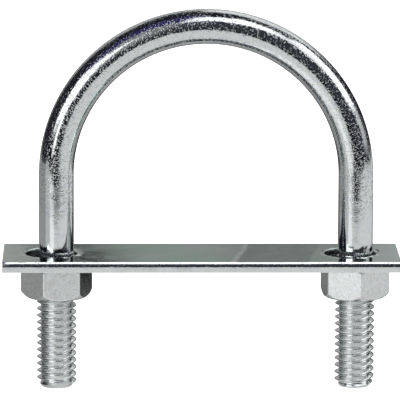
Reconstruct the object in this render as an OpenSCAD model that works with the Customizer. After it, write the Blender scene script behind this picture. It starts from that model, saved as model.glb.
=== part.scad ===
// Through-deck eye: a round rod bent to a U, a flat clamp plate and two hexagon nuts.
// Millimetres. The origin is on the plate's top face, halfway between the two leg axes.
// +Z runs up towards the crown of the eye, +X runs from the left leg to the right leg.

/* [Eye] */
// Distance between the two leg axes, which is twice the radius of the bend
leg_spacing = 60; // [40:1:120]
// Diameter of the smooth rod
rod_d = 7; // [5:0.1:7.2]
// Height of the bend's centre above the plate's top face
straight_h = 15.85; // [5:0.05:80]

/* [Studs] */
// Outside diameter of the thread on the free ends
thread_d = 7.94; // [7.9:0.01:7.96]
// Diameter of the stud where the nut and the plate sit at rest
seat_d = 7.6; // [7.3:0.05:7.6]
// Length of each stud below the plate's top face
stud_l = 27.3; // [20:0.1:60]
// Height of the chamfer at each stud's end
end_chamfer_h = 1.1; // [0.2:0.1:2]
// Diameter of the flat at each stud's end
end_flat_d = 5.8; // [3:0.1:7]

/* [Plate] */
// Distance from each hole's axis to the plate's end
plate_end = 9.7; // [8:0.1:20]
// Width of the plate along Y
plate_w = 20; // [14:0.1:40]
// Thickness of the plate
plate_t = 2.1; // [1:0.1:5]
// Diameter of the two holes
hole_d = 10.32; // [10.2:0.02:11]
// How far the loose plate lies to one side of the legs
plate_shift = -1; // [-1:0.1:1]
// How far the loose plate lies in front of the legs
plate_forward = 0.35; // [-0.5:0.05:0.5]

/* [Nuts] */
// Width across the flats
nut_af = 12.7; // [11:0.1:14]
// Height of the nut
nut_h = 6.75; // [5:0.05:9]
// Diameter of the nut's bore
nut_bore_d = 8; // [7.98:0.01:8.06]
// Diameter of the round that both chamfers leave on the nut's faces
nut_face_d = 12; // [9.5:0.1:12]
// Diameter of the countersink at each end of the bore
nut_sink_d = 8.9; // [8.2:0.1:9.2]
// Angle of the left nut's front flat from the front view, to the right
left_nut_angle = 9.6; // [-30:0.1:30]
// Angle of the right nut's front flat from the front view, to the right
right_nut_angle = -21.5; // [-30:0.1:30]

/* [Hidden] */
$fn = 96;

leg_x = leg_spacing / 2;
plate_l = leg_spacing + 2 * plate_end;
zinc = [0.80, 0.82, 0.83];

// The nut's seat is the plate's lower face.
nut_top_z = -plate_t;
nut_bottom_z = nut_top_z - nut_h;
nut_corner_r = nut_af / 2 / cos(30);

// The nut's outline in radius and height: a 30 degree cone on top, and below it a cone
// that steepens towards the corners.
nut_outer_r = nut_corner_r + 0.1;
nut_face_r = nut_face_d / 2;
top_chamfer_h = (nut_outer_r - nut_face_r) * tan(30);
knee_r = nut_face_r + (nut_outer_r - nut_face_r) / 2;
knee_h = (knee_r - nut_face_r) * tan(30);
low_chamfer_h = knee_h + (nut_outer_r - knee_r) * tan(52);

sink_h = (nut_sink_d - nut_bore_d) / 2 * tan(45);

// Half a torus standing on the two legs.
module bend() {
    translate([0, 0, straight_h])
        rotate([90, 0, 0])
            rotate_extrude(angle = 180)
                translate([leg_x, 0])
                    circle(d = rod_d);
}

// One leg: smooth rod, the stretch inside plate and nut, the free thread, the chamfered end.
module leg(x) {
    translate([x, 0, 0])
        cylinder(d = rod_d, h = straight_h);
    translate([x, 0, nut_bottom_z])
        cylinder(d = seat_d, h = -nut_bottom_z);
    translate([x, 0, end_chamfer_h - stud_l])
        cylinder(d = thread_d, h = stud_l - end_chamfer_h + nut_bottom_z);
    translate([x, 0, -stud_l])
        cylinder(d1 = end_flat_d, d2 = thread_d, h = end_chamfer_h);
}

module u_bolt() {
    color(zinc)
        union() {
            bend();
            leg(-leg_x);
            leg(leg_x);
        }
}

module plate() {
    color(zinc)
        translate([plate_shift, -plate_forward, -plate_t])
            difference() {
                translate([-plate_l / 2, -plate_w / 2, 0])
                    cube([plate_l, plate_w, plate_t]);
                for (side = [-1, 1])
                    translate([side * leg_x, 0, -1])
                        cylinder(d = hole_d, h = plate_t + 2);
            }
}

// The body of revolution that cuts both chamfers on the hexagon, standing on z = 0.
module chamfer_body() {
    rotate_extrude()
        polygon([
            [0, 0],
            [nut_face_r, 0],
            [knee_r, knee_h],
            [nut_outer_r, low_chamfer_h],
            [nut_outer_r, nut_h - top_chamfer_h],
            [nut_face_r, nut_h],
            [0, nut_h]
        ]);
}

// The bore with a countersink at each end, through z = 0 and z = nut_h.
module nut_bore() {
    translate([0, 0, -1])
        cylinder(d = nut_bore_d, h = nut_h + 2);
    cylinder(d1 = nut_sink_d, d2 = nut_bore_d, h = sink_h);
    translate([0, 0, nut_h - sink_h])
        cylinder(d1 = nut_bore_d, d2 = nut_sink_d, h = sink_h);
}

// A nut under the plate on the leg at x, turned about its own axis.
module hex_nut(x, angle) {
    color(zinc)
        translate([x, 0, nut_bottom_z])
            rotate([0, 0, angle])
                difference() {
                    intersection() {
                        cylinder(r = nut_corner_r, h = nut_h, $fn = 6);
                        chamfer_body();
                    }
                    nut_bore();
                }
}

module left_nut() {
    hex_nut(-leg_x, left_nut_angle);
}

module right_nut() {
    hex_nut(leg_x, right_nut_angle);
}

u_bolt();
plate();
left_nut();
right_nut();
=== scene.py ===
"""A through-deck eye in bright zinc: a bent rod with two threaded studs, a flat plate and two nuts.

Every length is in metres. The origin is on the plate's top face, halfway between the two legs, +Z
runs up to the crown of the eye and +X from the left leg to the right leg.
"""

import logging
import math
from dataclasses import dataclass, field
from enum import Enum
from typing import Any, Callable, Iterable, Sequence

import bmesh
import bpy
from bmesh.types import BMEdge, BMesh, BMVert
from mathutils import Matrix, Vector, noise


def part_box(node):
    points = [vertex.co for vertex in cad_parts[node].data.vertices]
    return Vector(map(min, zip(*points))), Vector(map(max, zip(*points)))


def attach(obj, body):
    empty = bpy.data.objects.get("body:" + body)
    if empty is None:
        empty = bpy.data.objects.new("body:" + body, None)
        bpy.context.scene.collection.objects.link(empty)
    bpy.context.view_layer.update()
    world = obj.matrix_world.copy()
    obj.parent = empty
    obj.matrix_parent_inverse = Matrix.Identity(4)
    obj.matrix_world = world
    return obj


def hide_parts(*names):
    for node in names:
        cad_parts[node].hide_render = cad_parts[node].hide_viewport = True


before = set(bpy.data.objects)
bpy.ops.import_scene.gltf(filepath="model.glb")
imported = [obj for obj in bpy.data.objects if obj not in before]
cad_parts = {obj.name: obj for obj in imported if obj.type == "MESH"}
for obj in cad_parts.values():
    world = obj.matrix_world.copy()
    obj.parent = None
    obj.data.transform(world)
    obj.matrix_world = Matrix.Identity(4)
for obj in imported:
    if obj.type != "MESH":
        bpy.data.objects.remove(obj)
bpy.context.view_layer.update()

LOG = logging.getLogger("through_deck_eye")
MM = 0.001
MERGE = 0.001 * MM
DEGREES = 180 / math.pi
SHARP_ANGLE = math.radians(38)
WEAR_AND_HIGHLIGHT_ANGLE = math.radians(25)
RIM_ANGLE = 0.4
CORNER_ANGLE = 1.0

Colour = tuple[float, float, float]
Span = tuple[float, float, float]
Loop = list[BMEdge]


# ---------------------------------------------------------------- mesh steps


def smooth_step(low: float, high: float, value: float) -> float:
    """Returns a number that rises smoothly from 0 to 1 while the value goes from low to high."""
    t = min(1.0, max(0.0, (value - low) / (high - low)))
    return t * t * (3 - 2 * t)


def loop_verts(loop: Iterable[BMEdge]) -> list[BMVert]:
    """Returns the vertices of a loop of edges, each once."""
    return list(dict.fromkeys(vert for edge in loop for vert in edge.verts))


def grow(bm: BMesh, loop: Loop, place: Callable[[Vector], Vector]) -> Loop:
    """Extrudes a loop of edges and puts each new vertex where a rule says.

    Args:
        bm: Mesh that holds the loop.
        loop: Edges to extrude.
        place: Gives a vertex's new place from its old one.

    Returns:
        The edges of the new loop.
    """
    made = bmesh.ops.extrude_edge_only(bm, edges=loop)["geom"]
    for vert in (item for item in made if isinstance(item, BMVert)):
        vert.co = place(vert.co)
    return [item for item in made if isinstance(item, BMEdge)]


def open_loop(bm: BMesh, height: float) -> Loop:
    """Returns the open edges that lie in the horizontal plane at a height."""
    return [
        edge
        for edge in bm.edges
        if edge.is_boundary and all(abs(vert.co.z - height) < MERGE for vert in edge.verts)
    ]


def circle_loop(bm: BMesh, radius: float, centre: Vector, segments: int) -> Loop:
    """Adds a horizontal circle with a number of segments, and returns its edges."""
    made = bmesh.ops.create_circle(
        bm, cap_ends=False, radius=radius, segments=segments, matrix=Matrix.Translation(centre)
    )["verts"]
    return list(dict.fromkeys(edge for vert in made for edge in vert.link_edges))


def whole(bm: BMesh) -> list[Any]:
    """Returns every vertex, edge and face of a mesh."""
    return [*bm.verts, *bm.edges, *bm.faces]


def to_object(name: str, bm: BMesh) -> bpy.types.Object:
    """Turns a mesh into an object of the scene.

    Args:
        name: Name of the object.
        bm: Mesh, which is freed.

    Returns:
        The object.
    """
    mesh = bpy.data.meshes.new(name)
    bm.to_mesh(mesh)
    bm.free()
    piece = bpy.data.objects.new(name, mesh)
    bpy.context.scene.collection.objects.link(piece)
    return piece


def round_off(
    bm: BMesh, parts: list[Any], radius: float, segments: int, affect: str = "EDGES"
) -> None:
    """Rounds edges or corners with an arc that starts at a radius from them."""
    bmesh.ops.bevel(
        bm,
        geom=parts,
        offset=radius,
        offset_type="OFFSET",
        segments=segments,
        profile=0.5,
        affect=affect,
        clamp_overlap=True,
        material=-1,
    )


def mark_wear_and_highlight(bm: BMesh) -> None:
    """Stores how sharply the surface turns at each vertex, as a float attribute; the finishes brighten
    those edges, partly as rubbed wear and partly as a painted highlight.

    Args:
        bm: Mesh that takes the attribute.
    """
    layer = bm.verts.layers.float.new("wear_and_highlight")
    for vert in bm.verts:
        sharpest = max((edge.calc_face_angle(0.0) for edge in vert.link_edges), default=0.0)
        vert[layer] = min(1.0, sharpest / WEAR_AND_HIGHLIGHT_ANGLE)


@dataclass(frozen=True)
class ScrewThread:
    """A right-hand 60 degree thread with rounded crests and roots.

    One pitch of its outline is spun through one turn of the helix, and the turn is then stacked.
    """

    pitch: float = 1.4111 * MM
    crest_r: float = 3.97 * MM
    crest_round: float = 0.15 * MM
    root_round: float = 0.20 * MM
    steps: int = 72
    arc_steps: int = 2

    @property
    def depth(self) -> float:
        """Returns the radial distance from root to crest that the two roundings leave."""
        return self.pitch / 2 * math.sqrt(3) - self.crest_round - self.root_round

    def outline(self, clearance: float) -> list[Vector]:
        """Works out one pitch of the outline, from root to root, in the XZ plane.

        Args:
            clearance: Distance by which the outline is moved outwards.

        Returns:
            The outline's points, with the crest at a height of zero.
        """
        root_r = self.crest_r - self.depth
        turns = [math.radians(60) * step / self.arc_steps for step in range(self.arc_steps + 1)]
        root = [
            (
                root_r + self.root_round * (1 - math.cos(turn)),
                self.root_round * math.sin(turn) - self.pitch / 2,
            )
            for turn in turns
        ]
        crest = [
            (
                self.crest_r - self.crest_round * (1 - math.cos(turn)),
                -self.crest_round * math.sin(turn),
            )
            for turn in reversed(turns)
        ]
        lower = root + crest
        upper = [(radius, -height) for radius, height in reversed(lower[:-1])]
        return [Vector((radius + clearance, 0, height)) for radius, height in lower + upper]

    def cut(
        self,
        bm: BMesh,
        axis: Vector,
        crest_z: float,
        low: float,
        high: float,
        limit: Callable[[float, float], float],
        clearance: float = 0.0,
    ) -> None:
        """Adds the thread's surface between two heights, open at both ends.

        Args:
            bm: Mesh that takes the surface.
            axis: A point on the thread's axis.
            crest_z: Height of one crest on the -X side of the axis.
            low: Height of the lower end.
            high: Height of the upper end.
            limit: Gives the final radius from a radius and a height.
            clearance: Distance by which the surface lies outside the nominal one.
        """
        turn = bmesh.new()
        verts = [turn.verts.new(point) for point in self.outline(clearance)]
        edges = [turn.edges.new(pair) for pair in zip(verts, verts[1:])]
        bmesh.ops.spin(
            turn,
            geom=verts + edges,
            cent=(0, 0, 0),
            axis=(0, 0, 1),
            dvec=(0, 0, self.pitch / self.steps),
            angle=math.tau,
            steps=self.steps,
            use_merge=False,
            use_normal_flip=False,
            use_duplicate=False,
        )
        start = crest_z - self.pitch / 2
        start -= self.pitch * math.ceil((start - low) / self.pitch + 1.5)
        bmesh.ops.translate(turn, vec=(0, 0, start), verts=turn.verts)
        single = whole(turn)
        for number in range(1, math.ceil((high - start) / self.pitch) + 2):
            copy = bmesh.ops.duplicate(turn, geom=single)["geom"]
            lifted = [item for item in copy if isinstance(item, BMVert)]
            bmesh.ops.translate(turn, vec=(0, 0, number * self.pitch), verts=lifted)
        bmesh.ops.remove_doubles(turn, verts=turn.verts, dist=MERGE)
        for height, side in ((low, -1), (high, 1)):
            bmesh.ops.bisect_plane(
                turn,
                geom=whole(turn),
                dist=0,
                plane_co=(0, 0, height),
                plane_no=(0, 0, side),
                clear_outer=True,
            )
        for vert in turn.verts:
            radius = math.hypot(vert.co.x, vert.co.y)
            scale = limit(radius, vert.co.z) / radius
            vert.co = Vector((vert.co.x * scale, vert.co.y * scale, vert.co.z))
        bmesh.ops.translate(turn, vec=(axis.x, axis.y, 0), verts=turn.verts)
        mesh = bpy.data.meshes.new("turn")
        turn.to_mesh(mesh)
        turn.free()
        bm.from_mesh(mesh)
        bpy.data.meshes.remove(mesh)


# ---------------------------------------------------------------- shader steps


class Signal:
    """A node's result. A number has Python's operators, which add Math nodes."""

    def __init__(self, graph: "Graph", socket: bpy.types.NodeSocket) -> None:
        """Keeps the result's socket and the graph that it is in."""
        self.graph = graph
        self.socket = socket

    def out(self, name: str) -> "Signal":
        """Returns another result of the node that this one comes from."""
        return Signal(self.graph, self.socket.node.outputs[name])

    def apply(self, operation: str, *values: Any) -> "Signal":
        """Adds a Math node on the given values and returns its result."""
        return self.graph.node("ShaderNodeMath", {"operation": operation}, list(values))

    def __add__(self, other: Any) -> "Signal":
        """Returns self + other."""
        return self.apply("ADD", self, other)

    def __sub__(self, other: Any) -> "Signal":
        """Returns self - other."""
        return self.apply("SUBTRACT", self, other)

    def __rsub__(self, other: Any) -> "Signal":
        """Returns other - self."""
        return self.apply("SUBTRACT", other, self)

    def __mul__(self, other: Any) -> "Signal":
        """Returns self * other."""
        return self.apply("MULTIPLY", self, other)

    def __abs__(self) -> "Signal":
        """Returns the size of self without its sign."""
        return self.apply("ABSOLUTE", self)

    def step(self, low: float, high: float) -> "Signal":
        """Returns a step that rises smoothly from 0 at low to 1 at high."""
        return self.graph.node(
            "ShaderNodeMapRange",
            {"interpolation_type": "SMOOTHSTEP"},
            {"Value": self, "From Min": low, "From Max": high},
        )

    def between(self, low: float, high: float, soft: float) -> "Signal":
        """Returns 1 between two values and 0 outside them, with soft edges of a given width."""
        half = soft / 2
        return self.step(low - half, low + half) * (1 - self.step(high - half, high + half))


class Graph:
    """Builds one node tree."""

    def __init__(self, owner: bpy.types.Material | bpy.types.World) -> None:
        """Turns on the nodes of a material or world and empties their tree.

        Args:
            owner: The material or world.
        """
        owner.use_nodes = True
        self.tree = owner.node_tree
        self.tree.nodes.clear()
        is_world = isinstance(owner, bpy.types.World)
        self.output = "ShaderNodeOutputWorld" if is_world else "ShaderNodeOutputMaterial"

    def feed(self, socket: bpy.types.NodeSocket, value: Any) -> None:
        """Links a signal to a socket, or sets the socket's own value.

        Args:
            socket: Socket to feed.
            value: A signal, a number, a vector or a colour.
        """
        if isinstance(value, Signal):
            self.tree.links.new(value.socket, socket)
        elif isinstance(value, (int, float)) or socket.type == "VECTOR":
            socket.default_value = value
        else:
            socket.default_value = (*value[:3], 1.0)

    def node(
        self,
        kind: str,
        settings: dict[str, Any] | None = None,
        inputs: dict[str | int, Any] | Sequence[Any] = (),
    ) -> Signal:
        """Adds a node.

        Args:
            kind: The node's type.
            settings: The node's own properties, which are set first.
            inputs: A value or signal for each socket, by name or in order.

        Returns:
            The node's first result.
        """
        node = self.tree.nodes.new(kind)
        for key, value in (settings or {}).items():
            setattr(node, key, value)
        pairs = inputs.items() if isinstance(inputs, dict) else enumerate(inputs)
        for key, value in pairs:
            self.feed(node.inputs[key], value)
        return Signal(self, node.outputs[0])

    def mix(self, factor: Any, first: Any, second: Any) -> Signal:
        """Blends two colours.

        Args:
            factor: 0 gives the first colour and 1 the second.
            first: Colour or signal.
            second: Colour or signal.

        Returns:
            The blended colour.
        """
        made = self.tree.nodes.new("ShaderNodeMix")
        made.data_type = "RGBA"
        colours = [socket for socket in made.inputs if socket.type == "RGBA"]
        self.feed(made.inputs["Factor"], factor)
        self.feed(colours[0], first)
        self.feed(colours[1], second)
        return Signal(self, next(out for out in made.outputs if out.type == "RGBA"))

    def noise(
        self, place: Signal, wavelength: float, detail: float = 2.0, roughness: float = 0.5
    ) -> Signal:
        """Returns a noise pattern around 0.5, with features as wide as the wavelength."""
        return self.node(
            "ShaderNodeTexNoise",
            {"noise_dimensions": "3D"},
            {"Vector": place, "Scale": 1 / wavelength, "Detail": detail, "Roughness": roughness},
        )

    def bump(self, height: Signal, distance: float, normal: Signal | None = None) -> Signal:
        """Turns a height into a tilt of the surface.

        Args:
            height: Height from 0 to 1.
            distance: Real height in metres of a height of 1.
            normal: Normal that is tilted further.

        Returns:
            The tilted normal.
        """
        inputs = {"Strength": 1.0, "Distance": distance, "Height": height}
        if normal is not None:
            inputs["Normal"] = normal
        return self.node("ShaderNodeBump", None, inputs)

    def parts(self, place: Signal) -> tuple[Signal, Signal, Signal]:
        """Returns the X, Y and Z of coordinates as three signals."""
        split = self.node("ShaderNodeSeparateXYZ", None, [place])
        return split.out("X"), split.out("Y"), split.out("Z")

    def end(self, surface: Signal) -> None:
        """Sends a shader to the tree's output."""
        self.feed(self.tree.nodes.new(self.output).inputs["Surface"], surface)


class Space(Enum):
    """The coordinates that a finish's pattern follows."""

    OBJECT = "Object"
    ROD = "rod"

    def read(self, graph: Graph) -> Signal:
        """Returns the coordinates as a signal in a graph."""
        if self is Space.ROD:
            return graph.node("ShaderNodeAttribute", {"attribute_name": self.value}).out("Vector")
        return graph.node("ShaderNodeTexCoord").out(self.value)


@dataclass(frozen=True)
class Patches:
    """Patches in a noise pattern: their size, and the values where they start and are full."""

    size: float
    start: float
    full: float
    detail: float = 2.0
    roughness: float = 0.5

    def mask(self, graph: Graph, place: Signal) -> Signal:
        """Returns 1 in the patches and 0 between them."""
        return graph.noise(place, self.size, self.detail, self.roughness).step(self.start, self.full)


@dataclass(frozen=True)
class ZincFinish:
    """Bright zinc plating: a metallic skin with a fine dimpled texture and a faint blue cast."""

    name: str
    space: Space = Space.OBJECT
    colour: Colour = (0.77, 0.805, 0.795)
    cast: Colour = (0.73, 0.75, 0.79)
    cast_patches: Patches = Patches(1.1 * MM, 0.42, 0.66, 3)
    cast_share: float = 0.8
    roughness: float = 0.06
    haze: float = 0.06
    haze_patches: Patches = Patches(4 * MM, 0.35, 0.7, 3)
    speck_haze: float = 0.14
    specks: Patches = Patches(0.45 * MM, 0.58, 0.68, 1)
    dimples: Patches = Patches(0.38 * MM, 0.53, 0.68)
    dimple_height: float = 0.022 * MM
    swell_size: float = 3.2 * MM
    swell_height: float = 0.03 * MM
    line_stretch: Sequence[float] = (1, 1, 1)
    line_size: float = 0.12 * MM
    line_height: float = 0.0
    # Brighter edges: partly rubbed wear, partly a painted highlight along the edges.
    wear_and_highlight_colour: Colour = (0.88, 0.90, 0.89)
    wear_and_highlight_patches: Patches = Patches(0.5 * MM, 0.3, 0.6)
    wear_and_highlight_share: float = 0.7

    def tone(self, graph: Graph, place: Signal) -> Signal:
        """Works out the colour: the zinc, its blue cast in patches, and brighter edges that are partly
        rubbed wear and partly a painted highlight.

        Args:
            graph: Graph that takes the nodes.
            place: Coordinates that the patterns follow.

        Returns:
            The colour.
        """
        cast = self.cast_patches.mask(graph, place) * self.cast_share
        plain = graph.mix(cast, self.colour, self.cast)
        # Sharp edges brightened: partly rubbed wear, partly a painted highlight.
        wear_and_highlight = graph.node("ShaderNodeAttribute", {"attribute_name": "wear_and_highlight"}).out("Fac")
        rubbed_and_highlit = wear_and_highlight * self.wear_and_highlight_patches.mask(graph, place) * self.wear_and_highlight_share
        return graph.mix(rubbed_and_highlit, plain, self.wear_and_highlight_colour)

    def gloss(self, graph: Graph, place: Signal) -> Signal:
        """Works out the roughness: hazy patches and small dull specks on a brighter skin.

        Args:
            graph: Graph that takes the nodes.
            place: Coordinates that the patterns follow.

        Returns:
            The roughness.
        """
        haze = self.haze_patches.mask(graph, place) * self.haze
        specks = self.specks.mask(graph, place) * self.speck_haze
        return haze + specks * self.grain(graph, place) + self.roughness

    def grain(self, graph: Graph, place: Signal) -> Signal | float:
        """Returns how strongly the specks and dimples show, from 0 to 1: evenly everywhere."""
        return 1.0

    def relief(self, graph: Graph, place: Signal) -> Signal:
        """Works out the normal: a slow swell, fine lines and the dimples.

        Args:
            graph: Graph that takes the nodes.
            place: Coordinates that the patterns follow.

        Returns:
            The normal.
        """
        normal = graph.bump(graph.noise(place, self.swell_size, 1), self.swell_height)
        if self.line_height:
            inputs = {"Vector": place, "Scale": self.line_stretch}
            lined = graph.node("ShaderNodeMapping", None, inputs)
            normal = graph.bump(graph.noise(lined, self.line_size), self.line_height, normal)
        dimples = self.dimples.mask(graph, place) * self.grain(graph, place)
        return graph.bump(dimples, self.dimple_height, normal)

    def material(self) -> bpy.types.Material:
        """Builds the finish.

        Returns:
            The material.
        """
        material = bpy.data.materials.new(self.name)
        graph = Graph(material)
        place = self.space.read(graph)
        inputs = {
            "Metallic": 1.0,
            "Base Color": self.tone(graph, place),
            "Roughness": self.gloss(graph, place),
            "Normal": self.relief(graph, place),
        }
        graph.end(graph.node("ShaderNodeBsdfPrincipled", None, inputs))
        return material


@dataclass(frozen=True)
class StripFinish(ZincFinish):
    """Zinc on rolled strip: lengthwise lines, a faint green tone, a painted highlight streak with
    painted shade beside it on the top face, and grainy edges.
    """

    green: Colour = (0.62, 0.73, 0.67)
    green_patches: Patches = Patches(16 * MM, 0.3, 0.6)
    top_start: float = -0.15 * MM
    top_full: float = -0.02 * MM
    # A painted highlight: a light streak across the top face.
    painted_highlight: Colour = (0.98, 0.99, 0.98)
    painted_highlight_span: Span = (6.5 * MM, 7.5 * MM, 0.6 * MM)
    painted_light_lean: float = -0.14
    painted_light_drift: float = 2 * MM
    # Painted shade on the top face, beside the painted highlight.
    shade: Colour = (0.42, 0.50, 0.47)
    painted_shade_span: Span = (7.5 * MM, 22 * MM, 1 * MM)
    rolled_span: Span = (-1.05 * MM, -0.08 * MM, 0.1 * MM)
    flat_grain: float = 0.12

    def grain(self, graph: Graph, place: Signal) -> Signal | float:
        """Returns how strongly the specks and dimples show: fully on the rolled edges only."""
        _, _, height = graph.parts(place)
        return height.between(*self.rolled_span) * (1 - self.flat_grain) + self.flat_grain

    def tone(self, graph: Graph, place: Signal) -> Signal:
        """Works out the colour: greener patches, and a painted highlight streak with painted shade
        beside it on the top face.

        Args:
            graph: Graph that takes the nodes.
            place: Coordinates that the patterns follow.

        Returns:
            The colour.
        """
        along, across, height = graph.parts(place)
        on_top = height.step(self.top_start, self.top_full)
        drift = (graph.noise(place, self.green_patches.size) - 0.5) * self.painted_light_drift
        along = along + across * self.painted_light_lean + drift
        green = self.green_patches.mask(graph, place) * on_top
        colour = graph.mix(green, super().tone(graph, place), self.green)
        # Painted shade, then a painted highlight streak, on the top face only.
        colour = graph.mix(along.between(*self.painted_shade_span) * on_top, colour, self.shade)
        return graph.mix(along.between(*self.painted_highlight_span) * on_top, colour, self.painted_highlight)


@dataclass(frozen=True)
class RodFinish(ZincFinish):
    """Zinc on drawn rod: grainy round the bend, and with dark patches just above the plate."""

    bend_length: float = math.pi * 30 * MM
    leg_grain: float = 0.06
    grain_end: float = 7.0 * MM
    grain_soft: float = 5 * MM
    foot_span: Span = (14.0 * MM, 15.3 * MM, 0.5 * MM)
    # Darker patches round the foot of each leg, just above the plate.
    foot_dark: Colour = (0.04, 0.05, 0.06)
    foot_dark_patches: Patches = Patches(1.6 * MM, 0.53, 0.57, 3, 0.6)
    foot_dark_share: float = 0.85

    def beyond(self, graph: Graph, place: Signal) -> Signal:
        """Returns the distance along the rod from the middle of the bend, less half the bend."""
        _, _, along = graph.parts(place)
        return abs(along - self.bend_length / 2) - self.bend_length / 2

    def grain(self, graph: Graph, place: Signal) -> Signal | float:
        """Works out how strongly the specks and dimples show: fully on the bend, less on the legs.

        Args:
            graph: Graph that takes the nodes.
            place: Coordinates that the patterns follow.

        Returns:
            The strength, from 0 to 1.
        """
        start = self.grain_end - self.grain_soft / 2
        fade = self.beyond(graph, place).step(start, start + self.grain_soft)
        return 1 - fade * (1 - self.leg_grain)

    def tone(self, graph: Graph, place: Signal) -> Signal:
        """Works out the colour: as on any zinc, with dark patches at both feet.

        Args:
            graph: Graph that takes the nodes.
            place: Coordinates that the patterns follow.

        Returns:
            The colour.
        """
        foot = self.beyond(graph, place).between(*self.foot_span)
        foot_dark = foot * self.foot_dark_patches.mask(graph, place) * self.foot_dark_share
        return graph.mix(foot_dark, super().tone(graph, place), self.foot_dark)


@dataclass(frozen=True)
class NutFinish(ZincFinish):
    """Zinc on a cold-formed nut: satin, with scattered dark pits."""

    pit: Colour = (0.22, 0.22, 0.22)
    pit_patches: Patches = Patches(0.55 * MM, 0.66, 0.74, 2, 0.7)
    pit_share: float = 0.7

    def tone(self, graph: Graph, place: Signal) -> Signal:
        """Returns the colour: as on any zinc, with pits on top."""
        pits = self.pit_patches.mask(graph, place) * self.pit_share
        return graph.mix(pits, super().tone(graph, place), self.pit)


ROD_FINISH = RodFinish(
    "zinc_on_drawn_rod",
    space=Space.ROD,
    line_stretch=(1, 1, 0.12),
    line_height=0.002 * MM,
)
THREAD_FINISH = ZincFinish(
    "zinc_on_rolled_thread",
    space=Space.ROD,
    colour=(0.84, 0.87, 0.86),
    cast=(0.80, 0.82, 0.84),
    roughness=0.18,
    speck_haze=0.08,
    dimples=Patches(0.5 * MM, 0.53, 0.68),
    dimple_height=0.005 * MM,
)
STRIP_FINISH = StripFinish(
    "zinc_on_strip",
    colour=(0.76, 0.80, 0.785),
    roughness=0.07,
    dimple_height=0.009 * MM,
    swell_size=9 * MM,
    line_stretch=(0.05, 1, 1),
    line_size=0.3 * MM,
    line_height=0.002 * MM,
)
NUT_FINISH = NutFinish(
    "zinc_on_nut",
    colour=(0.655, 0.69, 0.675),
    roughness=0.10,
    speck_haze=0.08,
    dimples=Patches(0.5 * MM, 0.53, 0.68),
    dimple_height=0.002 * MM,
    # Near-white edges: mostly a painted highlight along the nut's corners, with some rubbed wear.
    wear_and_highlight_colour=(1.0, 1.0, 0.99),
)
# Hole walls: zinc darkened with painted shade, standing for the dark inside of each hole.
HOLE_WALL_PAINTED_SHADE = ZincFinish(
    "zinc_with_painted_shade_in_hole",
    colour=(0.16, 0.18, 0.18),
    cast=(0.09, 0.10, 0.12),
    roughness=0.25,
)


# ---------------------------------------------------------------- the pieces


@dataclass
class Piece:
    """A solid that stands for a CAD node, with its finishes in the order of their face numbers."""

    node: str
    slot: str
    finishes: tuple[ZincFinish, ...]

    def build(self) -> BMesh:
        """Builds the solid's mesh. Each kind of piece has its own way."""
        raise NotImplementedError

    def make(self) -> None:
        """Builds, dresses and mounts the piece."""
        bm = self.build()
        bmesh.ops.remove_doubles(bm, verts=bm.verts, dist=MERGE)
        bmesh.ops.recalc_face_normals(bm, faces=bm.faces)
        loose = sum(1 for edge in bm.edges if not edge.is_manifold)
        piece = to_object(self.node + "_zinc", bm)
        mesh = piece.data
        for finish in self.finishes:
            mesh.materials.append(bpy.data.materials.get(finish.name) or finish.material())
        mesh.polygons.foreach_set("use_smooth", [True] * len(mesh.polygons))
        mesh.set_sharp_from_angle(angle=SHARP_ANGLE)
        shading = piece.modifiers.new("even_faces", "WEIGHTED_NORMAL")
        shading.mode = "FACE_AREA"
        shading.weight = 100
        shading.keep_sharp = True
        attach(piece, self.node)
        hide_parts(self.node)
        LOG.info("%s: %d faces, %d open edges", piece.name, len(mesh.polygons), loose)


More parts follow.
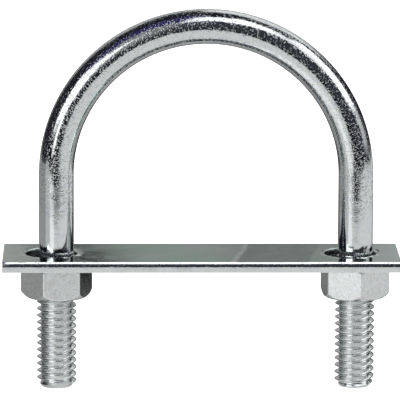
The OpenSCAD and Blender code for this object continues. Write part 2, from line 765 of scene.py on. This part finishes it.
@dataclass
class BentRod(Piece):
    """The eye: a round rod bent to a U, with a thread rolled on each end."""

    node: str = "u_bolt"
    slot: str = "zinc_rod"
    finishes: tuple[ZincFinish, ...] = (ROD_FINISH, THREAD_FINISH)
    rod_r: float = 3.5 * MM
    thread: ScrewThread = field(default_factory=ScrewThread)
    left_crest_z: float = -10.0 * MM
    right_crest_z: float = -10.35 * MM
    runout_start: float = -0.95 * MM
    runout_end: float = -0.15 * MM
    end_r: float = 2.9 * MM
    end_chamfer_h: float = 1.1 * MM
    end_round: float = 0.12 * MM
    end_steps: int = 3
    end_rings: tuple[tuple[float, float], ...] = ((0.72, 0.0), (0.45, 0.03 * MM), (0.2, 0.05 * MM))
    foot_gap: float = 0.3 * MM
    segments: int = 72
    bend_steps: int = 120
    leg_rings: int = 6

    def __post_init__(self) -> None:
        """Reads the eye's place from its CAD node."""
        low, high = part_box(self.node)
        self.leg_x = high.x - self.thread.crest_r
        self.end_z = low.z
        self.bend_z = high.z - self.leg_x - self.rod_r

    def thread_radius(self, radius: float, height: float) -> float:
        """Cuts the thread back to the end chamfer and fades it out at the smooth rod.

        Args:
            radius: Radius on the full thread.
            height: Height of the point.

        Returns:
            The final radius.
        """
        slope = (self.thread.crest_r - self.end_r) / self.end_chamfer_h
        cone = self.end_r + (height - self.end_z) * slope
        fade = smooth_step(self.runout_start, self.runout_end, height)
        return min(radius, cone) * (1 - fade) + self.rod_r * fade

    def end_face(self, bm: BMesh, axis: Vector) -> None:
        """Closes a stud's lower end with a slightly hollow sheared face.

        Args:
            bm: Mesh that holds the stud.
            axis: A point on the stud's axis.
        """
        rim = [edge for edge in open_loop(bm, self.end_z) if edge.verts[0].co.x * axis.x > 0]
        loop = rim
        for share, dish in self.end_rings:
            centre = axis + Vector((0, 0, self.end_z + dish))
            reach = self.end_r * share
            loop = grow(bm, loop, lambda co: centre + (co - axis).xy.to_3d().normalized() * reach)
        inner = loop_verts(grow(bm, loop, lambda co: co))
        bmesh.ops.pointmerge(bm, verts=inner, merge_co=centre)
        rim = [edge for edge in rim if edge.is_valid]
        round_off(bm, rim, self.end_round, self.end_steps)

    def straightened(self, co: Vector) -> Vector:
        """Maps a place on the bent rod to the same place on a straight one.

        Args:
            co: A place on or in the rod.

        Returns:
            The place across the rod, in X and Y, and along it, in Z.
        """
        if co.z <= self.bend_z:
            side = 1 if co.x > 0 else -1
            start = 0 if co.x > 0 else math.pi * self.leg_x
            return Vector((side * co.x - self.leg_x, co.y, start + side * (co.z - self.bend_z)))
        radius = math.hypot(co.x, co.z - self.bend_z)
        angle = math.atan2(co.z - self.bend_z, co.x)
        return Vector((radius - self.leg_x, co.y, angle * self.leg_x))

    def build(self) -> BMesh:
        """Builds the two studs, then the smooth rod from one to the other.

        Returns:
            The rod's mesh, with the threads' faces numbered 1 and the attribute "rod".
        """
        bm = bmesh.new()
        for side, crest_z in ((-1, self.left_crest_z), (1, self.right_crest_z)):
            axis = Vector((side * self.leg_x, 0, 0))
            self.thread.cut(bm, axis, crest_z, self.end_z, self.runout_end, self.thread_radius)
            self.end_face(bm, axis)
        for face in bm.faces:
            face.material_index = 1
        tops = open_loop(bm, self.runout_end)
        right_top = [edge for edge in tops if edge.verts[0].co.x > 0]
        left_top = [edge for edge in tops if edge.verts[0].co.x < 0]
        foot_z = self.runout_end + self.foot_gap
        foot = circle_loop(bm, self.rod_r, Vector((self.leg_x, 0, foot_z)), self.segments)
        loop = foot
        rise = Vector((0, 0, (self.bend_z - foot_z) / self.leg_rings))
        for _ in range(self.leg_rings):
            loop = grow(bm, loop, lambda co: co + rise)
        spun = bmesh.ops.spin(
            bm,
            geom=loop + loop_verts(loop),
            cent=(0, 0, self.bend_z),
            axis=(0, -1, 0),
            angle=math.pi,
            steps=self.bend_steps,
            use_merge=False,
            use_normal_flip=False,
            use_duplicate=False,
        )["geom_last"]
        loop = [item for item in spun if isinstance(item, BMEdge)]
        for _ in range(self.leg_rings):
            loop = grow(bm, loop, lambda co: co - rise)
        bmesh.ops.bridge_loops(bm, edges=foot + right_top)
        bmesh.ops.bridge_loops(bm, edges=loop + left_top)
        layer = bm.verts.layers.float_vector.new("rod")
        for vert in bm.verts:
            vert[layer] = self.straightened(vert.co)
        return bm


@dataclass
class ClampPlate(Piece):
    """The flat strip: rolled along its two long edges, cut square at its ends, with two holes."""

    node: str = "plate"
    slot: str = "zinc_plate"
    finishes: tuple[ZincFinish, ...] = (STRIP_FINISH, HOLE_WALL_PAINTED_SHADE)
    hole_spacing: float = 60 * MM
    hole_r: float = 5.16 * MM
    hole_reach: float = 0.1 * MM
    corner_r: float = 0.15 * MM
    corner_steps: int = 4
    side_fade: float = 0.45 * MM
    roll_h: float = 0.30 * MM
    roll_slope: float = math.radians(34)
    band_h: float = 0.70 * MM
    band_lean: float = 0.16 * MM
    band_rows: int = 5
    rim_r: float = 0.10 * MM
    rim_steps: int = 4
    low_rim_r: float = 0.05 * MM
    low_rim_steps: int = 2
    hole_roll_r: float = 0.3 * MM
    burr_rings: tuple[tuple[float, float], ...] = (
        (0.34 * MM, 0.0),
        (0.41 * MM, 0.7),
        (0.50 * MM, 1.0),
        (0.60 * MM, 0.55),
        (0.70 * MM, 0.0),
    )
    burr_h: float = 0.19 * MM
    burr_size: float = 1.3 * MM
    segments: int = 96
    patch_rings: int = 4
    middle_steps: int = 24

    def __post_init__(self) -> None:
        """Reads the plate's place from its CAD node."""
        self.low, self.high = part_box(self.node)
        self.centre = (self.low + self.high) / 2

    def patch(self, bm: BMesh, side: int) -> None:
        """Lays out the top face round one hole, as a rectangle with a round opening.

        Args:
            bm: Mesh that takes the patch.
            side: -1 for the left hole and 1 for the right one.
        """
        hole = Vector((self.centre.x + side * self.hole_spacing / 2, self.centre.y, self.high.z))
        reach_x = self.high.x - self.centre.x - self.hole_spacing / 2
        reach_y = self.high.y - self.centre.y

        def to_rectangle(co: Vector) -> Vector:
            """Moves a point straight out from the hole's rim to the rectangle.

            Args:
                co: The point.

            Returns:
                Its new place.
            """
            way = co - hole
            scale = 1 / max(abs(way.x), abs(way.y))
            return hole + Vector((way.x * scale * reach_x, way.y * scale * reach_y, 0))

        loop = circle_loop(bm, self.hole_r, hole, self.segments)
        for reach, _ in self.burr_rings:
            loop = grow(bm, loop, lambda co: hole + (co - hole).normalized() * (self.hole_r + reach))
        outline = grow(bm, loop, to_rectangle)
        spokes = {edge for vert in loop_verts(outline) for edge in vert.link_edges} - set(outline)
        bmesh.ops.subdivide_edges(bm, edges=list(spokes), cuts=self.patch_rings)

    def middle(self, bm: BMesh) -> None:
        """Joins the two patches with the strip between the holes.

        Args:
            bm: Mesh that holds the patches.
        """
        inner = self.hole_spacing / 2 - (self.high.x - self.centre.x - self.hole_spacing / 2)
        start = self.centre.x - inner
        loop = [
            edge
            for edge in bm.edges
            if edge.is_boundary and all(abs(vert.co.x - start) < MERGE for vert in edge.verts)
        ]
        step = Vector((2 * inner / self.middle_steps, 0, 0))
        for _ in range(self.middle_steps):
            loop = grow(bm, loop, lambda co: co + step)
        bmesh.ops.remove_doubles(bm, verts=bm.verts, dist=MERGE)

    def build(self) -> BMesh:
        """Builds the top face, gives it its thickness and shapes its rolled sides.

        Returns:
            The plate's mesh, with the faces inside the holes numbered 1.
        """
        bm = bmesh.new()
        self.patch(bm, -1)
        self.patch(bm, 1)
        self.middle(bm)
        made = bmesh.ops.extrude_face_region(bm, geom=list(bm.faces))["geom"]
        thickness = Vector((0, 0, self.low.z - self.high.z))
        bmesh.ops.translate(bm, vec=thickness, verts=[v for v in made if isinstance(v, BMVert)])
        corners = [
            edge
            for edge in bm.edges
            if abs(edge.verts[0].co.z - edge.verts[1].co.z) > MERGE
            and edge.calc_face_angle(0.0) > CORNER_ANGLE
        ]
        round_off(bm, corners, self.corner_r, self.corner_steps)
        for row in range(self.band_rows + 1):
            depth = self.roll_h + self.band_h * row / self.band_rows
            bmesh.ops.bisect_plane(
                bm,
                geom=whole(bm),
                dist=MERGE,
                plane_co=(0, 0, self.high.z - depth),
                plane_no=(0, 0, 1),
            )
        for vert in bm.verts:
            vert.co.y -= self.side(vert.co) * self.inset(self.high.z - vert.co.z)
        bm.normal_update()
        for face in bm.faces:
            upright = abs(face.normal.z) < 0.5
            face.material_index = int(upright and self.near_hole(face.calc_center_median()))
        self.round_rims(bm)
        self.raise_burrs(bm)
        mark_wear_and_highlight(bm)
        return bm

    def raise_burrs(self, bm: BMesh) -> None:
        """Raises the thin uneven burr that the punch left round each hole on the top face.

        Args:
            bm: Mesh that holds the plate.
        """
        top = [vert for vert in bm.verts if abs(vert.co.z - self.high.z) < MERGE]
        for vert in top:
            reach = self.from_hole(vert.co) - self.hole_r
            height = self.burr_h * (noise.noise(vert.co / self.burr_size) + 0.5)
            for ring, share in self.burr_rings:
                if abs(reach - ring) < MERGE:
                    vert.co.z += height * share

    def inset(self, depth: float) -> float:
        """Works out how far a rolled edge lies inside the plate's outline.

        The roll slopes, the band below it curves down to upright, and the rest is upright.

        Args:
            depth: Distance below the top face.

        Returns:
            The inset.
        """
        if depth <= self.roll_h:
            return self.band_lean + (self.roll_h - depth) * math.tan(self.roll_slope)
        left = max(0.0, 1 - (depth - self.roll_h) / self.band_h)
        return self.band_lean * left * left

    def side(self, co: Vector) -> float:
        """Tells which long edge a place is on.

        Args:
            co: The place.

        Returns:
            -1 or 1 on the front or back edge, fading to 0 away from it.
        """
        across = co.y - self.centre.y
        half = self.high.y - self.centre.y
        return math.copysign(smooth_step(half - self.side_fade, half, abs(across)), across)

    def round_rims(self, bm: BMesh) -> None:
        """Rounds the upper rims, the holes' most of all, and breaks the lower ones.

        Args:
            bm: Mesh that holds the plate.
        """
        for height, outer, inner, segments in (
            (self.high.z, self.rim_r, self.hole_roll_r, self.rim_steps),
            (self.low.z, self.low_rim_r, self.low_rim_r, self.low_rim_steps),
        ):
            for outside, radius in ((True, outer), (False, inner)):
                rim = [
                    edge
                    for edge in bm.edges
                    if all(abs(vert.co.z - height) < MERGE for vert in edge.verts)
                    and edge.calc_face_angle(0.0) > RIM_ANGLE
                    and self.near_hole(edge.verts[0].co) != outside
                ]
                round_off(bm, rim, radius, segments)

    def from_hole(self, place: Vector) -> float:
        """Returns a place's distance from the axis of the nearer hole."""
        side = math.copysign(self.hole_spacing / 2, place.x - self.centre.x)
        return math.hypot(place.x - self.centre.x - side, place.y - self.centre.y)

    def near_hole(self, place: Vector) -> bool:
        """Tells whether a place is on the wall of a hole."""
        return self.from_hole(place) < self.hole_r + self.hole_reach


@dataclass
class HexNut(Piece):
    """A cold-formed hexagon nut on one stud."""

    slot: str = "zinc_nut"
    finishes: tuple[ZincFinish, ...] = (NUT_FINISH,)
    turn: float = 0.0
    crest_z: float = 0.0
    across_flats: float = 12.7 * MM
    corner_offset: float = 0.26 * MM
    corner_steps: int = 4
    flat_cuts: int = 11
    flat_least: float = 1 * MM
    face_r: float = 6.0 * MM
    sink_r: float = 4.45 * MM
    inner_r: float = 4.65 * MM
    low_shares: tuple[float, ...] = (0.66, 0.5)
    rim_r: float = 0.12 * MM
    rim_steps: int = 3
    rim_angle: float = 0.2
    low_slope: float = math.radians(30)
    dome: float = 340.0
    high_slope: float = math.radians(38)
    tooth_r: float = 3.3 * MM
    thread_clearance: float = 0.045 * MM
    thread: ScrewThread = field(default_factory=ScrewThread)

    def __post_init__(self) -> None:
        """Reads the nut's place from its CAD node."""
        self.low, self.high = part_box(self.node)
        middle = (self.low + self.high) / 2
        self.axis = Vector((middle.x, middle.y, 0))

    def hexagon(self, bm: BMesh) -> Loop:
        """Draws the hexagon with rounded corners at the height of zero.

        Args:
            bm: Mesh that takes the outline.

        Returns:
            The outline's edges.
        """
        corner_r = self.across_flats / 2 / math.cos(math.pi / 6)
        loop = circle_loop(bm, corner_r, Vector((0, 0, 0)), 6)
        bmesh.ops.rotate(
            bm,
            verts=loop_verts(loop),
            cent=(0, 0, 0),
            matrix=Matrix.Rotation(math.pi / 6 + math.radians(self.turn), 3, "Z"),
        )
        round_off(bm, loop_verts(loop), self.corner_offset, self.corner_steps, "VERTICES")
        flats = [edge for edge in bm.edges if edge.calc_length() > self.flat_least]
        bmesh.ops.subdivide_edges(bm, edges=flats, cuts=self.flat_cuts)
        return list(bm.edges)

    def low_chamfer(self, radius: float) -> float:
        """Returns the height of the domed lower chamfer at a radius."""
        reach = max(0.0, radius - self.face_r)
        return reach * math.tan(self.low_slope) + self.dome * reach * reach

    def high_chamfer(self, radius: float) -> float:
        """Returns the depth of the conical upper chamfer at a radius."""
        return max(0.0, radius - self.face_r) * math.tan(self.high_slope)

    def thread_radius(self, radius: float, height: float) -> float:
        """Returns a radius on the full thread cut back to the flat crests and the countersinks."""
        depth = min(height - self.low.z, self.high.z - height)
        return max(radius, self.tooth_r, self.sink_r - depth)

    def build(self) -> BMesh:
        """Builds the outside ring by ring, then the thread, and joins the two.

        Returns:
            The nut's mesh.
        """
        bm = bmesh.new()
        outline = self.hexagon(bm)
        bottom, top = self.low.z, self.high.z
        up = Vector((0, 0, 1))

        def low_ring(share: float) -> Callable[[Vector], Vector]:
            """Places a ring on the lower chamfer, at a share of the last ring's way out."""

            def place(co: Vector) -> Vector:
                """Puts one vertex on the ring."""
                radius = self.face_r + (co.xy.length - self.face_r) * share
                return (co.xy.normalized() * radius).to_3d() + up * (bottom + self.low_chamfer(radius))

            return place

        def high_ring(co: Vector) -> Vector:
            """Puts one vertex where the upper chamfer meets the sides."""
            return co.xy.to_3d() + up * (top - self.high_chamfer(co.xy.length))

        def circle(radius: float, height: float) -> Callable[[Vector], Vector]:
            """Places a plain circle."""
            return lambda co: (co.xy.normalized() * radius).to_3d() + up * height

        for vert in loop_verts(outline):
            vert.co = low_ring(1)(vert.co)
        high_line = grow(bm, outline, high_ring)
        high_circle = grow(bm, high_line, circle(self.face_r, top))
        grow(bm, high_circle, circle(self.inner_r, top))
        loop = outline
        for share in self.low_shares:
            loop = grow(bm, loop, low_ring(share))
        low_circle = grow(bm, loop, circle(self.face_r, bottom))
        grow(bm, low_circle, circle(self.inner_r, bottom))
        bmesh.ops.recalc_face_normals(bm, faces=bm.faces)
        lines = outline + high_line
        rims = [edge for edge in lines if edge.calc_face_angle(0.0) > self.rim_angle]
        round_off(bm, rims, self.rim_r, self.rim_steps)
        bmesh.ops.translate(bm, vec=self.axis, verts=bm.verts)
        self.thread.cut(
            bm, self.axis, self.crest_z, bottom, top, self.thread_radius, self.thread_clearance
        )
        for height in (bottom, top):
            bmesh.ops.bridge_loops(bm, edges=open_loop(bm, height))
        mark_wear_and_highlight(bm)
        return bm


# ---------------------------------------------------------------- the studio


def sheet(
    name: str, material: bpy.types.Material, place: Matrix, half: Sequence[float]
) -> bpy.types.Object:
    """Adds a flat rectangle that stands in the studio and isn't part of the object.

    Args:
        name: Name of the rectangle.
        material: What it is made of.
        place: Turn and place of its middle.
        half: Half of each of its two sides.

    Returns:
        The rectangle.
    """
    bm = bmesh.new()
    matrix = place @ Matrix.Diagonal((*half, 1, 1))
    bmesh.ops.create_grid(bm, x_segments=1, y_segments=1, size=1, matrix=matrix)
    piece = to_object(name, bm)
    piece.data.materials.append(material)
    return piece


def hide_from_view(piece: bpy.types.Object) -> None:
    """Leaves a sheet to be seen in mirror reflections only.

    Args:
        piece: The sheet.
    """
    piece.visible_camera = False
    piece.visible_diffuse = False
    piece.visible_shadow = False


@dataclass
class LightTable:
    """The glowing table that the zinc mirrors from below, shaded at its left and back.

    A span is the two ends of a bright or dark field and the width of its soft edge, in metres, or in
    degrees for a bearing. Bearing 0 is towards the camera and a positive one is to its right.
    """

    height: float = -59 * MM
    half: float = 0.8
    front: float = -366 * MM
    front_soft: float = 40 * MM
    light: float = 0.72
    shade: float = 0.33
    lit_right: float = 0.75
    lit_back: float = -0.66
    lit_start: float = -0.07
    lit_full: float = -0.01
    middle_span: Span = (-0.20, 0.24, 0.06)
    middle_dusk: Sequence[float] = (-0.04, 0.10)
    middle_dark: Sequence[float] = (0.10, 0.22)
    glint: float = 0.28
    glint_span: Span = (-46, -20, 10)
    side: float = 0.22
    side_span: Span = (-76, -48, 8)
    corner: float = 0.22
    corner_right: Span = (-0.13, -0.04, 0.03)
    corner_back: Span = (0.22, 0.31, 0.03)

    def glow(self, graph: Graph) -> Signal:
        """Works out how brightly the table glows from place to place.

        Args:
            graph: Graph of the table's material.

        Returns:
            The strength of the glow.
        """
        right, back, _ = graph.parts(Space.OBJECT.read(graph))
        middle = right.between(*self.middle_span)
        lit = (right * self.lit_right + back * self.lit_back).step(self.lit_start, self.lit_full)
        lit = lit * (1 - back.step(*self.middle_dusk) * middle)
        bearing = right.apply("ARCTAN2", right, 0 - back) * DEGREES
        glint = bearing.between(*self.glint_span) * self.glint
        side = bearing.between(*self.side_span) * self.side
        light = lit * (self.light - self.shade) + self.shade + glint + side
        half_soft = self.front_soft / 2
        near = back.step(self.front - half_soft, self.front + half_soft)
        dark = back.step(*self.middle_dark) * middle
        corner = right.between(*self.corner_right) * back.between(*self.corner_back)
        return light * near * (1 - dark) + corner * self.corner

    def make(self) -> None:
        """Lays the table."""
        material = bpy.data.materials.new("light_table")
        graph = Graph(material)
        graph.end(graph.node("ShaderNodeEmission", None, {"Strength": self.glow(graph)}))
        place = Matrix.Translation((0, 0, self.height))
        hide_from_view(sheet("light_table", material, place, (self.half, self.half)))


@dataclass(frozen=True)
class Stripe:
    """A leaning stripe of the back card, between two places along X at the card's middle height."""

    start: float
    end: float
    soft: float
    lean: float
    light: Colour


@dataclass
class BackCard:
    """The striped card behind the object that the plate's top face mirrors."""

    stripes: tuple[Stripe, ...] = (
        Stripe(-150 * MM, -34 * MM, 8 * MM, -1.0, (0.385, 0.375, 0.375)),
        Stripe(-37.5 * MM, -20 * MM, 5 * MM, -1.0, (0.015, 0.018, 0.017)),
        Stripe(-20.5 * MM, 17 * MM, 8 * MM, -2.0, (0.275, 0.31, 0.29)),
        Stripe(17 * MM, 70 * MM, 4 * MM, 0.9, (0.23, 0.25, 0.24)),
        Stripe(50 * MM, 150 * MM, 20 * MM, 0.9, (0.37, 0.39, 0.39)),
    )
    plain: Colour = (0.2, 0.2, 0.2)
    away: float = 300 * MM
    height: float = 59.3 * MM
    half_width: float = 150 * MM
    half_height: float = 12 * MM
    soft: float = 4 * MM

    def make(self) -> None:
        """Hangs the card, which fades out at its upper and lower edges."""
        material = bpy.data.materials.new("back_card")
        graph = Graph(material)
        right, _, up = graph.parts(Space.OBJECT.read(graph))
        rise = up - self.height
        light = self.plain
        for stripe in self.stripes:
            mask = (right + rise * stripe.lean).between(stripe.start, stripe.end, stripe.soft)
            light = graph.mix(mask, light, stripe.light)
        lamp = graph.node("ShaderNodeEmission", None, {"Color": light, "Strength": 1.0})
        clear = graph.node("ShaderNodeBsdfTransparent")
        shown = abs(rise).step(self.half_height, self.half_height - self.soft)
        graph.end(graph.node("ShaderNodeMixShader", None, [shown, clear, lamp]))
        upright = Matrix.Rotation(math.pi / 2, 4, "X")
        place = Matrix.Translation((0, self.away, self.height)) @ upright
        half = (self.half_width, self.half_height)
        hide_from_view(sheet("back_card", material, place, half))


@dataclass(frozen=True)
class SoftBox:
    """A bright field of the studio, between two bearings and two heights in degrees.

    Bearing 0 is towards the camera and a positive bearing is to its right.
    """

    left: float
    right: float
    low: float
    high: float
    light: float
    soft: float = 6.0


@dataclass
class Studio:
    """The surroundings: a white floor, soft boxes round the object and a dark room behind them."""

    boxes: tuple[SoftBox, ...] = (
        SoftBox(-45, -8, 8, 46, 0.22, 12),
        SoftBox(-64, -22, 6, 30, 1.9, 7),
        SoftBox(-40, -28, -12, 8, 1.9, 6),
        SoftBox(-9, 62, 44, 70, 1.9, 8),
        SoftBox(56, 98, 15, 50, 1.9, 8),
        SoftBox(44, 62, 26, 56, 1.0, 8),
        SoftBox(74, 106, 0, 14, 0.55, 8),
        SoftBox(122, 181, 30, 62, 0.9, 12),
        SoftBox(146, 181, 15, 30, 0.55, 6),
        SoftBox(-181, -138, 12, 46, 0.45, 8),
        SoftBox(-181, -140, -10, 14, 0.20, 8),
        SoftBox(-181, -160, 4, 16, 0.37, 8),
        SoftBox(160, 181, 4, 16, 0.37, 8),
    )
    room: Colour = (0.012, 0.012, 0.018)
    front: Colour = (0.03, 0.032, 0.04)
    front_bearings: Span = (-25, 75, 30)
    front_heights: Span = (-30, 44, 16)
    blue: Colour = (0.03, 0.025, 0.11)
    blue_bearings: Span = (-75, 5, 30)
    blue_heights: Span = (32, 88, 14)
    white: Colour = (1.0, 1.0, 1.0)
    paper: Colour = (0.85, 0.85, 0.85)
    paper_roughness: float = 0.9
    paper_glow: float = 0.8
    floor_half: float = 2.0

    def surroundings(self) -> None:
        """Paints the world: white for the floor's light, soft boxes for reflections."""
        world = bpy.data.worlds.new("studio")
        bpy.context.scene.world = world
        graph = Graph(world)
        right, back, up = graph.parts(graph.node("ShaderNodeTexCoord").out("Generated"))
        bearing = right.apply("ARCTAN2", right, 0 - back) * DEGREES
        height = up.apply("ARCSINE", up) * DEGREES
        front = bearing.between(*self.front_bearings) * height.between(*self.front_heights)
        blue = bearing.between(*self.blue_bearings) * height.between(*self.blue_heights)
        colour = graph.mix(front, self.room, self.front)
        colour = graph.mix(blue, colour, self.blue)
        for box in self.boxes:
            mask = bearing.between(box.left, box.right, box.soft)
            mask = mask * height.between(box.low, box.high, box.soft)
            colour = graph.mix(mask, colour, (box.light, box.light, box.light))
        rays = graph.node("ShaderNodeLightPath")
        shown = graph.mix(rays.out("Is Glossy Ray"), self.white, colour)
        graph.end(graph.node("ShaderNodeBackground", None, {"Color": shown, "Strength": 1.0}))

    def floor(self) -> None:
        """Lays the pale floor under the studs' ends. Reflections show the light table instead."""
        material = bpy.data.materials.new("pale_floor")
        graph = Graph(material)
        inputs = {
            "Base Color": self.paper,
            "Roughness": self.paper_roughness,
            "Emission Color": self.white,
            "Emission Strength": self.paper_glow,
        }
        graph.end(graph.node("ShaderNodeBsdfPrincipled", None, inputs))
        place = Matrix.Translation((0, 0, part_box("u_bolt")[0].z))
        floor = sheet("floor", material, place, (self.floor_half, self.floor_half))
        floor.visible_glossy = False

    def make(self) -> None:
        """Sets up the whole studio."""
        self.surroundings()
        self.floor()
        LightTable().make()
        BackCard().make()
        bpy.context.scene.view_settings.view_transform = "Standard"


@dataclass
class Viewpoint:
    """The camera: a long lens, a little above the object and almost straight in front."""

    bearing: float = -1.17
    elevation: float = 10.5
    roll: float = 0.2
    distance: float = 0.895
    target: Vector = field(default_factory=lambda: Vector((-1.222, 0, 10.708)) * MM)
    view_width: float = 80.16 * MM
    sensor: float = 36.0

    def make(self) -> None:
        """Places the camera and makes it the scene's own."""
        data = bpy.data.cameras.new("camera")
        data.sensor_width = self.sensor
        data.lens = self.sensor * self.distance / self.view_width
        camera = bpy.data.objects.new("camera", data)
        bpy.context.scene.collection.objects.link(camera)
        turn = Matrix.Rotation(math.radians(self.bearing), 4, "Z")
        tilt = Matrix.Rotation(math.radians(90 - self.elevation), 4, "X")
        roll = Matrix.Rotation(math.radians(self.roll), 4, "Z")
        back = Matrix.Translation((0, 0, self.distance))
        camera.matrix_world = Matrix.Translation(self.target) @ turn @ tilt @ roll @ back
        bpy.context.scene.camera = camera


def main() -> None:
    """Builds the camera, the studio and the four pieces."""
    logging.basicConfig(level=logging.INFO, format="%(name)s: %(message)s")
    Viewpoint().make()
    Studio().make()
    rod = BentRod()
    rod.make()
    ClampPlate().make()
    HexNut(node="left_nut", turn=9.6, crest_z=rod.left_crest_z).make()
    HexNut(node="right_nut", turn=-21.5, crest_z=rod.right_crest_z).make()


if __name__ == "__main__":
    main()
